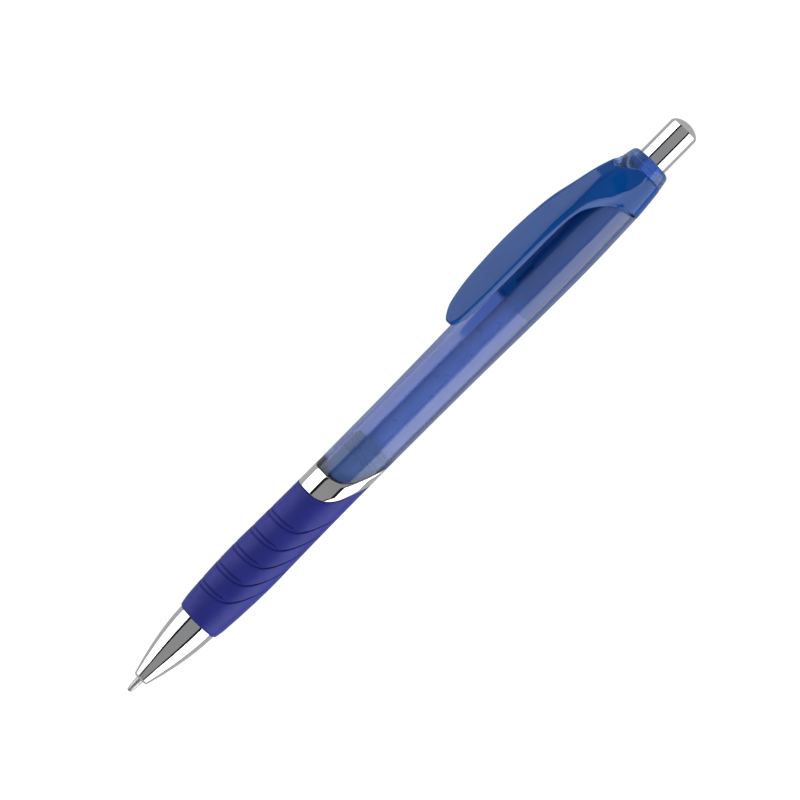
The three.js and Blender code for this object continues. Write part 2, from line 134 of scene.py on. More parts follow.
COLLAR_FRONT = 131.4
COLLAR_DIP = 2.9
COLLAR_DIP_ANGLE = math.radians(22)
COLLAR_NECK = (128.25, 133, 4.1)  # the collar's neck inside the cap: start, end, radius
COLLAR_BORE = 3.6
COLLAR_LIP = (132.6, 3.22)  # where the lip that keeps the button in starts, and its bore
CAP_BORE_END = 127.6
CAP_MOUTH = 4.2
BUTTON_RADIUS = 3.0
BUTTON_DOME_START = 142.2
BUTTON_FLANGE_RADIUS = 3.4
BUTTON_SOCKET_RADIUS = 2.4
BUTTON_INNER_END = 140
TUBE_RADIUS, TUBE_BORE = 1.65, 1.2
FILLING_RADIUS = 1.12
TIP_OUTSIDE = [
    (-0.9, 0.36), (-0.88, 0.41), (-0.82, 0.45), (-0.1, 0.57), (0.55, 0.645), (0.62, 0.66),
    (0.9, 0.69), (1.95, 0.74), (2.05, 0.78), (3.5, 0.95), (5.0, 1.03), (9.55, 1.08), (9.6, 1.03),
    (9.6, 0.85), (12.6, 0.85),
]
TIP_INSIDE = [
    (12.6, 0.3), (4.2, 0.3), (4.2, 0.42), (-0.63, 0.42), (-0.75, 0.4), (-0.86, 0.33), (-0.89, 0.32),
]
SPRING_WIRE = 0.18  # radius of the return spring's wire
SPRING_TURNS = 9

SHELL_OUTLINE = [
    (47, 4.96), (62, 4.98), (72, 5.04), (86, 5.2), (98.5, 5.45), (111, 5.55),
    (119, 5.42), (125, 5.2), (128, 4.95), (COLLAR_FRONT, 4.58), (133.2, 4.27), (134.6, 3.9),
]
GRIP_OUTLINE = [
    (16.5, 4.3), (18.5, 4.64), (22.2, 4.92), (25.8, 5.11), (31, 5.24), (36.7, 5.15),
    (44, 5.05), (58.5, 4.98),
]
CLIP_TOP = [
    (87.2, 8.9), (87.6, 9.12), (88.4, 9.35), (89.6, 9.65), (91.5, 9.95), (95, 10.3), (99, 10.52),
    (105, 10.68), (109, 10.65), (113, 10.46), (116, 10.12), (118.6, 9.65), (120.4, 9.36),
    (122.2, 9.08), (124, 8.7), (125.8, 8.2), (127.7, 7.48), (129.5, 6.6), (130.9, 5.5),
    (132.2, 4.4), (134.6, 2.8),
]
CLIP_UNDERSIDE = [
    (87.2, 8.3), (88.4, 8.35), (90, 8.4), (92, 8.5), (95, 8.74), (99, 8.92), (107.7, 9.05),
    (113.1, 8.95), (116, 8.6), (118.6, 7.56), (120.4, 6.1), (121.6, 4.9), (122.4, 4.0), (123.4, 3.4),
    (134.6, 3.4),
]
CLIP_FACE_EDGE = [
    (87.3, 0.7), (87.6, 0.9), (88.4, 1.43), (89.6, 2.0), (91.5, 2.4), (95, 2.85), (99, 3.05),
    (105, 3.1), (109, 2.95), (113, 2.7), (116, 2.55), (118.6, 2.35), (120.4, 2.2), (122.2, 1.95),
    (124, 1.78), (127.7, 1.6), (129.5, 1.5), (134.6, 1.0),
]
CLIP_SIDE = [
    (87.3, 0.95), (87.6, 1.15), (88.4, 1.68), (89.6, 2.25), (91.5, 2.65), (95, 3.08), (99, 3.3),
    (105, 3.45), (109, 3.42), (113, 3.38), (116, 3.33), (118.6, 3.28), (120.4, 3.32), (122.2, 3.5),
    (124, 4.0), (125.8, 4.15), (127.7, 4.15), (134.6, 3.6),
]
CLIP_SIDE_DROP = [
    (87.2, 0.25), (88.4, 0.3), (95, 0.38), (99, 0.42), (105, 0.5), (109, 0.56), (113, 0.66),
    (116, 0.72), (118.6, 0.9), (120.4, 1.45), (122.2, 2.35), (124, 3.3), (125.8, 3.9), (127.7, 4.2),
    (129.5, 3.8), (134.6, 1.0),
]
CLIP_CROWN = 0.16  # how far the clip's face falls at its edges
CLIP_ROUND = 0.22
CLIP_ROOT = (104, 120)  # where the clip's edges grow rounder towards the cap
CLIP_BACK = 133
PAD = (91.9, 7.1, 1.1)  # where the clip presses: along, height, half width
PAD_REACH = 1.9
PAD_TOP = 9


def smooth(points, x):
    """Values at x of a smooth curve through the points, and its slopes there."""
    px, py = np.array(points, float).T
    slopes = np.gradient(py, px)
    x = np.clip(np.asarray(x, float), px[0], px[-1])
    i = np.clip(np.searchsorted(px, x, side="right") - 1, 0, len(px) - 2)
    width = px[i + 1] - px[i]
    t = (x - px[i]) / width
    a, b, m, n = py[i], py[i + 1], slopes[i] * width, slopes[i + 1] * width
    value = a + t * (m + t * (3 * (b - a) - 2 * m - n + t * (2 * (a - b) + m + n)))
    slope = (m + t * (2 * (3 * (b - a) - 2 * m - n) + 3 * t * (2 * (a - b) + m + n))) / width
    return value, slope


def fade(x, start, end):
    """0 up to start, 1 from end, smooth between them. Start may be the larger."""
    t = np.clip((np.asarray(x, float) - start) / (end - start), 0, 1)
    return t * t * (3 - 2 * t)


def shell_radius(x):
    return smooth(SHELL_OUTLINE, x)[0]


def slant(angle):
    """How much further back the ring's edges and the grip's grooves lie, away from the clip."""
    share = (1 - np.cos(angle)) / 2
    near = share**SLANT_POWER
    far = (1 - share) ** SLANT_POWER
    return SLANT_RISE * near / (near + far)


def cap_rim(angle):
    return CAP_RIM - CAP_RIM_REACH * ((1 + np.cos(angle)) / 2) ** 4.5


def away_from_clip(angle):
    """How far round the pen an angle lies from the clip, 0 to pi."""
    return np.arccos(np.clip(np.cos(angle), -1, 1))


def collar_front(angle):
    away = away_from_clip(angle)
    return COLLAR_FRONT - COLLAR_DIP * np.exp(-((away / COLLAR_DIP_ANGLE) ** 2))


# Mesh making


def add_piece(name, points, faces, body, slot, node):
    """A smooth-shaded piece that stands for a CAD node, from points in the pen's frame, with its
    slot's material. With no body it rides on none yet."""
    placed = np.asarray(points, float) * MM @ np.array(PEN.to_3x3()).T + np.array(AXIS)
    mesh = bpy.data.meshes.new(name)
    mesh.from_pydata(placed.tolist(), [], faces)
    mesh.validate()
    mesh.polygons.foreach_set("use_smooth", [True] * len(mesh.polygons))
    mesh.materials.append(MATERIALS[slot])
    piece = bpy.data.objects.new(name, mesh)
    bpy.context.scene.collection.objects.link(piece)
    if body:
        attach(piece, body)
    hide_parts(node)
    return piece


def rounded(points, radius, steps=3):
    """A closed outline with its corners rounded off."""
    points = [np.array(p, float) for p in points]
    out = []
    for i, corner in enumerate(points):
        before, after = points[i - 1], points[(i + 1) % len(points)]
        reach_in = min(radius, np.linalg.norm(before - corner) * 0.45)
        reach_out = min(radius, np.linalg.norm(after - corner) * 0.45)
        start = corner + (before - corner) / np.linalg.norm(before - corner) * reach_in
        end = corner + (after - corner) / np.linalg.norm(after - corner) * reach_out
        for t in np.linspace(0, 1, steps + 1):
            out.append((1 - t) ** 2 * start + 2 * t * (1 - t) * corner + t * t * end)
    return [tuple(p) for p in out]


def filled_in(profile, closed):
    """The outline with points added on its long stretches, near both ends and between."""
    ends = [*profile[1:], profile[0]] if closed else profile[1:]
    out = []
    for start, end in zip(profile, ends):
        start, end = np.array(start, float), np.array(end, float)
        length = np.linalg.norm(end - start)
        out.append(start)
        if length > 1.5:
            shares = np.linspace(0, 1, int(length / 4) + 2)[1:-1]
            shares = [0.12 / length, *shares, 1 - 0.12 / length]
            out += [start + (end - start) * share for share in shares]
    return out if closed else [*out, np.array(profile[-1], float)]


def revolve(profile, count=128):
    """A closed outline of (x, radius) turned about the pen's axis. It may be a function of the
    angle from the clip. It runs towards the button outside and back inside."""
    profile_at = profile if callable(profile) else lambda angle: profile
    angles = np.linspace(0, 2 * math.pi, count, endpoint=False)
    rings = [np.array(profile_at(a), float) for a in angles]
    size = len(rings[0])
    points = np.concatenate(
        [
            np.stack([ring[:, 0], ring[:, 1] * math.sin(a), ring[:, 1] * math.cos(a)], 1)
            for ring, a in zip(rings, angles)
        ]
    )
    faces = []
    for i in range(count):
        j = (i + 1) % count
        for k in range(size):
            m = (k + 1) % size
            faces.append((i * size + k, i * size + m, j * size + m, j * size + k))
    return points, faces


def revolve_solid(profile, count=96):
    """An open outline of (x, radius) that starts and ends on the axis, turned about it."""
    inner = profile[1:-1]
    size = len(inner)
    angles = np.linspace(0, 2 * math.pi, count, endpoint=False)
    points = [(profile[0][0], 0, 0), (profile[-1][0], 0, 0)]
    for a in angles:
        points += [(x, r * math.sin(a), r * math.cos(a)) for x, r in inner]
    faces = []
    for i in range(count):
        j = (i + 1) % count
        a, b = 2 + i * size, 2 + j * size
        faces.append((0, a, b))
        faces.append((1, b + size - 1, a + size - 1))
        faces += [(a + k, a + k + 1, b + k + 1, b + k) for k in range(size - 1)]
    return np.array(points), faces


def sweep(centres, radius, sides=12):
    """A round wire along a path of points that turns about the pen's axis."""
    centres = np.array(centres, float)
    tangents = np.gradient(centres, axis=0)
    tangents /= np.linalg.norm(tangents, axis=1, keepdims=True)
    outward = centres * (0, 1, 1)
    outward /= np.linalg.norm(outward, axis=1, keepdims=True)
    beside = np.cross(tangents, outward)
    rings = [
        centres + radius * (math.cos(turn) * outward + math.sin(turn) * beside)
        for turn in np.linspace(0, 2 * math.pi, sides, endpoint=False)
    ]
    points = np.stack(rings, 1).reshape(-1, 3)
    faces = [tuple(reversed(range(sides))), tuple(range(len(points) - sides, len(points)))]
    for start in range(0, len(points) - sides, sides):
        for k in range(sides):
            m = (k + 1) % sides
            faces.append((start + k, start + m, start + sides + m, start + sides + k))
    return points, faces


def surface_net(field, low, high, step):
    """The surface where field(x, y, z) is 0, as quads, from a grid of the given step. The field
    is negative inside and above 0 on the grid's outside."""
    axes = [np.arange(a, b + step, step) for a, b in zip(low, high)]
    grid = np.meshgrid(*axes, indexing="ij")
    value = field(*grid)
    cells = tuple(n - 1 for n in value.shape)
    total = np.zeros((*cells, 3))
    hits = np.zeros(cells)
    crossings = []
    for axis in range(3):
        here = [slice(None)] * 3
        there = [slice(None)] * 3
        here[axis], there[axis] = slice(None, -1), slice(1, None)
        a, b = value[tuple(here)], value[tuple(there)]
        index = np.argwhere((a < 0) != (b < 0))
        first = a[tuple(index.T)]
        second = b[tuple(index.T)]
        place = index.astype(float)
        place[:, axis] += first / (first - second)
        one, two = [k for k in range(3) if k != axis]
        around = []
        for d_one, d_two in ((0, 0), (1, 0), (1, 1), (0, 1)):
            cell = index.copy()
            cell[:, one] -= d_one
            cell[:, two] -= d_two
            np.add.at(total, tuple(cell.T), place)
            np.add.at(hits, tuple(cell.T), 1)
            around.append(np.ravel_multi_index(tuple(cell.T), cells))
        quads = np.stack(around, 1)
        flip = (first < 0) == (axis == 1)
        quads[flip] = quads[flip][:, ::-1]
        crossings.append(quads)
    used = np.flatnonzero(hits)
    number = np.full(hits.size, -1)
    number[used] = np.arange(used.size)
    points = total.reshape(-1, 3)[used] / hits.reshape(-1)[used][:, None] * step + low
    quads = number[np.concatenate(crossings)]
    nudge = step * 0.02
    for _ in range(4):
        x, y, z = points.T
        here = field(x, y, z)
        slope = np.stack(
            [
                field(x + nudge, y, z) - field(x - nudge, y, z),
                field(x, y + nudge, z) - field(x, y - nudge, z),
                field(x, y, z + nudge) - field(x, y, z - nudge),
            ],
            1,
        ) / (2 * nudge)
        steepness = np.maximum((slope**2).sum(1), 0.05)
        move = -here[:, None] * slope / steepness[:, None]
        length = np.linalg.norm(move, axis=1, keepdims=True)
        points = points + move * np.minimum(1, 0.3 * step / np.maximum(length, 1e-9))
    return points, [tuple(int(i) for i in quad) for quad in quads]


# Materials


class Shader:
    """A node-based material around one Principled node."""

    def __init__(self, name, **constants):
        self.material = bpy.data.materials.new(name)
        self.material.use_nodes = True
        self.tree = self.material.node_tree
        self.bsdf = self.tree.nodes["Principled BSDF"]
        for socket, value in constants.items():
            self.bsdf.inputs[socket.replace("_", " ")].default_value = value
        self.place = self.tree.nodes.new("ShaderNodeTexCoord").outputs["Object"]

    def noise(self, scale, detail=3.0):
        """Noise with about scale features per metre."""
        node = self.tree.nodes.new("ShaderNodeTexNoise")
        node.inputs["Scale"].default_value = scale
        node.inputs["Detail"].default_value = detail
        self.tree.links.new(self.place, node.inputs["Vector"])
        return node.outputs["Fac"]

    def ramp(self, source, stops):
        """A colour for each value of source, from (place, colour) stops."""
        node = self.tree.nodes.new("ShaderNodeValToRGB")
        elements = node.color_ramp.elements
        while len(elements) < len(stops):
            elements.new(0.5)
        for element, (where, colour) in zip(elements, stops):
            element.position = where
            element.color = (*colour, 1)
        self.tree.links.new(source, node.inputs["Fac"])
        return node.outputs["Color"]

    def spread(self, source, low, high):
        """Noise, over the range where most of it lies, mapped to low and high."""
        node = self.tree.nodes.new("ShaderNodeMapRange")
        values = {"From Min": 0.3, "From Max": 0.7, "To Min": low, "To Max": high}
        for socket, value in values.items():
            node.inputs[socket].default_value = value
        self.tree.links.new(source, node.inputs["Value"])
        return node.outputs["Result"]

    def feed(self, socket, source):
        self.tree.links.new(source, self.bsdf.inputs[socket])

    def bump(self, height, distance):
        """Small relief, distance in metres at height 1."""
        node = self.tree.nodes.new("ShaderNodeBump")
        node.inputs["Distance"].default_value = distance
        self.tree.links.new(height, node.inputs["Height"])
        return node.outputs["Normal"]


def mottled(name, dark, light, scale, rough, grain, depth, **constants):
    """A moulded or turned surface: mottled colour, uneven gloss and a fine grain."""
    shader = Shader(name, **constants)
    broad = shader.noise(scale, 4.0)
    shader.feed("Base Color", shader.ramp(broad, [(0.35, dark), (0.65, light)]))
    shader.feed("Roughness", shader.spread(shader.noise(scale * 2.3), *rough))
    fine = shader.noise(grain, 2.0)
    shader.feed("Normal", shader.bump(fine, depth))
    return shader.material


def tinted(material, colour, density):
    """Gives a clear material a tint that deepens with thickness, density per metre."""
    tree = material.node_tree
    absorption = tree.nodes.new("ShaderNodeVolumeAbsorption")
    absorption.inputs["Color"].default_value = (*colour, 1)
    absorption.inputs["Density"].default_value = density
    tree.links.new(absorption.outputs["Volume"], tree.nodes["Material Output"].inputs["Volume"])
    return material


def make_materials():
    metal = dict(Metallic=1.0)
    return {
        "chrome": mottled(
            "chrome", (0.78, 0.79, 0.81), (0.86, 0.86, 0.87), 120, (0.03, 0.08), 500, 2e-7,
            **metal,
        ),
        "steel": mottled(
            "spring_steel", (0.5, 0.51, 0.53), (0.7, 0.7, 0.71), 400, (0.18, 0.35), 4000, 2e-6,
            **metal,
        ),
        "tip_metal": mottled(
            "nickel_silver", (0.42, 0.41, 0.4), (0.5, 0.5, 0.49), 500, (0.42, 0.52), 5000, 2e-7,
            **metal,
        ),
        "grip_rubber": mottled(
            "grip_rubber", (0.02, 0.026, 0.235), (0.026, 0.032, 0.265), 260, (0.38, 0.48), 6500, 8e-6,
            Specular_IOR_Level=0.2,
        ),
        "barrel_blue": tinted(
            mottled(
                "barrel_blue", (0.34, 0.41, 0.66), (0.37, 0.44, 0.69), 90, (0.14, 0.2), 700, 3e-7,
                Transmission_Weight=1.0, IOR=1.55,
            ),
            (0.1, 0.3, 0.68), 350,
        ),
        "cap_blue": mottled(
            "cap_blue", (0.0, 0.068, 0.33), (0.001, 0.078, 0.36), 90, (0.05, 0.12), 700, 6e-7,
            Transmission_Weight=0.15, IOR=1.4, Specular_IOR_Level=0.4,
        ),
        "collar_blue": mottled(
            "collar_blue", (0.09, 0.22, 0.55), (0.12, 0.26, 0.6), 90, (0.16, 0.22), 700, 5e-7,
            Transmission_Weight=0.85, IOR=1.46,
        ),
        "grey_plastic": mottled(
            "grey_plastic", (0.4, 0.76, 0.84), (0.46, 0.82, 0.9), 150, (0.3, 0.45), 2500, 4e-6,
            Transmission_Weight=0.4, IOR=1.4,
        ),
        "dark_plastic": mottled(
            "dark_plastic", (0.12, 0.72, 0.92), (0.16, 0.78, 0.96), 150, (0.3, 0.45), 2500, 4e-6,
            Transmission_Weight=0.6, IOR=1.35,
        ),
        "clear_plastic": mottled(
            "clear_plastic", (0.36, 0.68, 0.96), (0.4, 0.72, 0.98), 150, (0.25, 0.35), 900, 2e-6,
            Transmission_Weight=0.25, IOR=1.4,
        ),
        "ink": mottled(
            "gel_ink", (0.35, 0.55, 0.85), (0.42, 0.62, 0.9), 300, (0.15, 0.3), 1500, 2e-6,
        ),
        "grease": mottled(
            "grease", (0.7, 0.75, 0.7), (0.8, 0.84, 0.8), 300, (0.2, 0.35), 1500, 4e-6,
            Transmission_Weight=0.7, IOR=1.4,
        ),
    }


MATERIALS = make_materials()


# Front half


def nose_radius(x):
    share = (NOSE_BACK - x) / (NOSE_BACK - NOSE_FRONT)
    return NOSE_BACK_RADIUS - (NOSE_BACK_RADIUS - NOSE_FRONT_RADIUS) * share**NOSE_CURVE


def add_nose_cone():
    ogive = [(x, nose_radius(x)) for x in np.linspace(NOSE_FRONT + 0.12, NOSE_BACK - 0.12, 40)]
    profile = [
        (NOSE_FRONT + 0.02, 1.28), (NOSE_FRONT + 0.03, 1.36), *ogive,
        (NOSE_BACK - 0.03, NOSE_BACK_RADIUS - 0.03), (NOSE_BACK, NOSE_BACK_RADIUS - 0.12),
        (NOSE_BACK, NOSE_SPIGOT_RADIUS + 0.05), (NOSE_BACK + 0.05, NOSE_SPIGOT_RADIUS),
        (NOSE_SPIGOT_END, NOSE_SPIGOT_RADIUS), (NOSE_SPIGOT_END, SPRING_POCKET_RADIUS),
        (SPRING_SEAT, SPRING_POCKET_RADIUS), (SPRING_SEAT, SPRING_SEAT_BORE),
        (NOSE_BORE_START, NOSE_MOUTH), (NOSE_FRONT + 0.1, NOSE_MOUTH),
        (NOSE_FRONT, NOSE_MOUTH + 0.05),
    ]
    add_piece("nose_cone_shell", *revolve(profile), "pen_body", "chrome", "nose_cone")


def add_grip_sleeve():
    def profile_at(angle):
        away = away_from_clip(angle)
        shift = float(slant(angle))
        double = float(fade(away, 1.0, 0.68))
        depth = GROOVE_DEPTH * float(fade(away, 2.9, 2.2))
        width = GROOVE_END_WIDTH + (GROOVE_WIDTH - GROOVE_END_WIDTH) * double
        land = depth * GROOVE_LAND * double

        def along(x):
            return x + shift * float(fade(x, GRIP_FRONT, GROOVES[0] - 1))

        def at(x, cut=0.0):
            place = along(x)
            return place, float(smooth(GRIP_OUTLINE, place)[0]) - cut

        outline = [
            (GRIP_FRONT, 3.95), (GRIP_FRONT + 0.02, 4.08), (GRIP_FRONT + 0.1, 4.22),
            (GRIP_FRONT + 0.23, 4.33), (GRIP_FRONT + 0.4, 4.4),
        ]
        outline += [at(GRIP_FRONT + x) for x in (0.9, 1.9, 2.9, 3.9)]
        for groove in GROOVES:
            outline += [at(groove + x) for x in (-0.5, -0.2)]
            outline += [at(groove + x, depth * share) for x, share in FIRST_CUT]
            outline.append(at(groove + 0.14, depth * (0.3 + 0.1 * double)))
            outline += [at(groove + 0.22, land), at(groove + width - 0.18, land)]
            outline += [at(groove + width + x, depth * share * double) for x, share in SECOND_CUT]
            outline += [at(groove + width + x) for x in (0.22, 0.5)]
            outline += [at(groove + x) for x in (2.0, 2.7, 3.4)]
        back = RING_FRONT - 2 * JOIN + shift
        back_radius = float(smooth(GRIP_OUTLINE, back)[0])
        outline += [at(RING_FRONT - x) for x in (3.0, 2.0, 1.0)]
        outline += [
            (back - 0.2, back_radius), (back - 0.06, back_radius - 0.04), (back, back_radius - 0.16),
            (back, GRIP_BORE), (GRIP_FRONT, GRIP_BORE),
        ]
        return outline

    ribbed = revolve(profile_at, 200)
    add_piece("grip_sleeve_ribbed", *ribbed, "pen_body", "grip_rubber", "grip_sleeve")


def add_centre_ring():
    edge = 0.14

    def profile_at(angle):
        front = RING_FRONT + float(slant(angle))
        back = front + RING_WIDTH
        flat = [(x, RING_RADIUS) for x in np.linspace(front + edge, back - edge, 6)]
        return [
            (front, RING_RADIUS - edge), (front + 0.04, RING_RADIUS - 0.05), *flat,
            (back - 0.04, RING_RADIUS - 0.05), (back, RING_RADIUS - edge),
            (back, RING_BORE), (front, RING_BORE),
        ]

    add_piece("centre_ring_band", *revolve(profile_at, 200), "pen_body", "chrome", "centre_ring")


def add_upper_barrel():
    def profile_at(angle):
        front = RING_FRONT + RING_WIDTH + 2 * JOIN + float(slant(angle))
        away = away_from_clip(angle)
        beside_clip = float(fade(away, 0.6, 1.0) * fade(away, 2.0, 1.6))
        rim = float(cap_rim(angle)) - 2 * JOIN - RIM_GAP * beside_clip
        middle = np.linspace(66, 117, 40)
        stations = [front + 0.12, front + 0.3, front + 1, *middle, rim - 0.5, rim - 0.08]
        outside = [(x, float(shell_radius(x))) for x in stations]
        inside = [(x, BARREL_BORE) for x in np.linspace(BARREL_NECK_END, front, 24)]
        return [
            (front, float(shell_radius(front)) - 0.12), *outside,
            (rim, float(shell_radius(rim)) - 0.08), (rim, NECK_RADIUS),
            (BARREL_NECK_END, NECK_RADIUS), *inside,
        ]

    shell = revolve(profile_at, 160)
    add_piece("upper_barrel_shell", *shell, "pen_body", "barrel_blue", "upper_barrel")


# Cap, clip and collar


def soft_max(a, b, blend):
    """The larger of two fields, with the edge between them rounded."""
    mix = np.clip(0.5 + 0.5 * (a - b) / blend, 0, 1)
    return b * (1 - mix) + a * mix + blend * mix * (1 - mix)


def soft_min(a, b, blend):
    return -soft_max(-a, -b, blend)


def offset(value, slope, place):
    """Distance of place beyond a curve with that value and slope."""
    return (place - value) / np.sqrt(1 + slope**2)


def clip_and_cap(x, y, z):
    """Field of the outer shape of the cap, the clip and the collar together."""
    radius = np.sqrt(y * y + z * z)
    shell = radius - shell_radius(x) - CAP_PROUD
    top, top_slope = smooth(CLIP_TOP, x)
    edge = smooth(CLIP_FACE_EDGE, x)[0]
    side, side_slope = smooth(CLIP_SIDE, x)
    drop = smooth(CLIP_SIDE_DROP, x)[0]
    under = -offset(*smooth(CLIP_UNDERSIDE, x), z)
    away = np.abs(y)
    root = fade(x, *CLIP_ROOT)
    face = offset(top, top_slope, z) + CLIP_CROWN * (away / 3.3) ** 3
    length = np.hypot(drop, side - edge)
    flank = ((away - edge) * drop + (z - top) * (side - edge)) / length
    flank = flank / np.sqrt(1 + top_slope**2)
    wall = offset(side, side_slope, away)
    outline = soft_max(soft_max(face, flank, CLIP_ROUND + 0.5 * root), wall, CLIP_ROUND)
    pad_x, pad_z, pad_width = PAD
    pad_along = (x - pad_x) / PAD_REACH
    pad_down = (z - PAD_TOP) / (PAD_TOP - pad_z)
    pad = np.sqrt(pad_along**2 + (y / pad_width) ** 2 + pad_down**2) - 1
    plate = soft_max(outline, under, 0.2)
    plate = soft_max(plate, np.maximum(CLIP_TIP - 0.1 - x, x - CLIP_BACK), 0.35)
    plate = soft_min(plate, np.maximum(pad, outline + 0.4), 0.25)
    angle = np.arctan2(y, z)
    ring = soft_max(shell, cap_rim(angle) - x, 0.12)
    return soft_min(plate, ring, 0.7 * fade(x, 119, 122) + 0.05)


def room_inside(x, y, z):
    """Field of what the cap and clip stay clear of."""
    radius = np.sqrt(y * y + z * z)
    angle = np.arctan2(y, z)
    barrel = np.maximum(radius - shell_radius(x) - 0.04, x - cap_rim(angle) + 0.01)
    bore = np.maximum(radius - CAP_BORE, x - CAP_BORE_END)
    return np.minimum(np.minimum(barrel, bore), radius - CAP_MOUTH)


def add_clip_cap():
    def field(x, y, z):
        angle = np.arctan2(y, z)
        body = clip_and_cap(x, y, z)
        body = soft_max(body, x - collar_front(angle) + 0.07, 0.12)
        return soft_max(body, -room_inside(x, y, z), 0.06)

    points, faces = surface_net(field, (86.6, -5.9, -5.9), (132.2, 5.9, 11.0), 0.16)
    add_piece("clip_and_cap", points, faces, "pen_body", "cap_blue", "clip_cap")


def add_top_collar():
    def field(x, y, z):
        angle = np.arctan2(y, z)
        radius = np.sqrt(y * y + z * z)
        body = soft_max(clip_and_cap(x, y, z) + CAP_PROUD, collar_front(angle) + 0.03 - x, 0.1)
        body = soft_max(body, x - COLLAR_END, 0.7)
        neck_start, neck_end, neck_radius = COLLAR_NECK
        neck = np.maximum(radius - neck_radius, neck_start - x)
        body = np.minimum(body, np.maximum(neck, x - neck_end))
        lip_start, lip_bore = COLLAR_LIP
        bore = np.minimum(np.maximum(radius - COLLAR_BORE, x - lip_start), radius - lip_bore)
        return soft_max(body, -bore, 0.06)

    points, faces = surface_net(field, (127.6, -5.4, -5.4), (134.8, 5.4, 7.2), 0.14)
    add_piece("top_collar_ring", points, faces, "pen_body", "collar_blue", "top_collar")


# Button and refill


def add_push_button():
    dome_length = BUTTON_END - BUTTON_DOME_START
    quarter = np.linspace(0, math.pi / 2, 16)
    dome = []
    for turn in quarter[:-1]:
        fall = (1 - math.cos(turn)) ** 0.9
        dome.append((BUTTON_DOME_START + dome_length * math.sin(turn), BUTTON_RADIUS * (1 - fall)))
    flange_end = BUTTON_FRONT + 0.8
    profile = [
        (BUTTON_INNER_END, 0), (BUTTON_INNER_END, BUTTON_SOCKET_RADIUS),
        (BUTTON_FRONT + 0.05, BUTTON_SOCKET_RADIUS), (BUTTON_FRONT, BUTTON_SOCKET_RADIUS + 0.05),
        (BUTTON_FRONT, BUTTON_FLANGE_RADIUS - 0.05), (BUTTON_FRONT + 0.05, BUTTON_FLANGE_RADIUS),
        (flange_end - 0.05, BUTTON_FLANGE_RADIUS), (flange_end, BUTTON_FLANGE_RADIUS - 0.05),
        (flange_end, BUTTON_RADIUS + 0.05), (flange_end + 0.05, BUTTON_RADIUS),
    ]
    straight = np.linspace(flange_end + 0.2, BUTTON_DOME_START - 0.2, 12)
    profile += [(x, BUTTON_RADIUS) for x in straight]
    profile += [*dome, (BUTTON_END, 0)]
    add_piece("push_button_shell", *revolve_solid(profile, 128), "button", "chrome", "push_button")


def filling(front, back, front_bulge, back_hollow):
    """A plug of ink or grease that fills the tube between two menisci."""
    outline = [
        (front - front_bulge, 0), (front, FILLING_RADIUS - 0.12), (front + 0.1, FILLING_RADIUS),
        (back - 0.1, FILLING_RADIUS), (back, FILLING_RADIUS - 0.12), (back - back_hollow, 0),
    ]
    return revolve_solid(filled_in(outline, False), 48)


def add_refill():
    wall = [
        (TUBE_FRONT, TUBE_RADIUS), (TUBE_BACK, TUBE_RADIUS), (TUBE_BACK, TUBE_BORE),
        (TUBE_FRONT, TUBE_BORE),
    ]
    tube = revolve(filled_in(rounded(wall, 0.06, 2), True), 64)
    add_piece("ink_tube_wall", *tube, "refill", "clear_plastic", "ink_tube")
    ink = filling(INK_FRONT, INK_BACK, 0, 0.35)
    add_piece("ink_filling", *ink, "refill", "ink", "ink_column")
    grease = filling(GREASE_FRONT, GREASE_BACK, 0.3, 0.5)
    add_piece("grease_plug", *grease, "refill", "grease", "grease_follower")
    cone = revolve(TIP_OUTSIDE + TIP_INSIDE, 64)
    add_piece("tip_cone_turned", *cone, "refill", "tip_metal", "tip_cone")


def add_return_spring():
    """A compression spring with closed ends, held in the nose cone in front and pushed by the
    refill's flange behind."""
    front, back = SPRING_FRONT + SPRING_WIRE, SPRING_BACK - SPRING_WIRE
    closed = 2.2 * SPRING_WIRE
    rise = [
        (0, front), (1, front + closed), (1.6, front + 3.5 * closed),
        (SPRING_TURNS - 1.6, back - 3.5 * closed), (SPRING_TURNS - 1, back - closed),
        (SPRING_TURNS, back),
    ]
    turns = np.linspace(0, SPRING_TURNS, SPRING_TURNS * 28 + 1)
    angles = 2 * math.pi * turns
    radius = radius_of("return_spring") - SPRING_WIRE
    path = np.stack([smooth(rise, turns)[0], radius * np.sin(angles), radius * np.cos(angles)], 1)
    wire = sweep(path, SPRING_WIRE)
    spring = add_piece("return_spring_coil", *wire, None, "steel", "return_spring")
    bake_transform(spring)


def add_writing_ball():
    start, end = span("writing_ball")
    middle, radius = (start + end) / 2, (end - start) / 2
    arc = np.linspace(0, math.pi, 25)
    profile = [(middle - radius * math.cos(t), radius * math.sin(t)) for t in arc]
    add_piece("writing_ball_round", *revolve_solid(profile, 32), "ball", "steel", "writing_ball")


KEPT_NODES = [
    "ball_spring", "tip_holder", "refill_plug", "grip_core", "guide_sleeve", "rotor_cam",
    "thrust_cam",
]


def dress_kept_nodes():
    """CAD nodes that keep their shape get their finished materials."""
    slots = {s["node"]: s["material_slot"] for s in frame["record"]["subparts"]}
    for name in KEPT_NODES:
        node = frame["nodes"][name]
        material = MATERIALS[slots[name]]
        if node.material_slots:
            for entry in node.material_slots:
                entry.material = material
        else:
            node.data.materials.append(material)


# Studio


# Directions square to the pen, in degrees from the camera: a grey card ends, a soft box
# starts and a soft box ends.
FRONT_END, SOFT_START, SOFT_END = 33.5, 46.5, 107
SOFT_GLOW, GREY_GLOW, FLAG_GLOW, ROOM_GLOW = 2.3, 0.29, 0.01, 0.45
CARD_DISTANCE = 0.9
SOFT_REACH, FRONT_REACH = 0.65, 1.2
FILL_END, FILL_GLOW = 52, 2.3  # a card that only what lies behind clear plastic sees
FILL_NEARER = 0.3


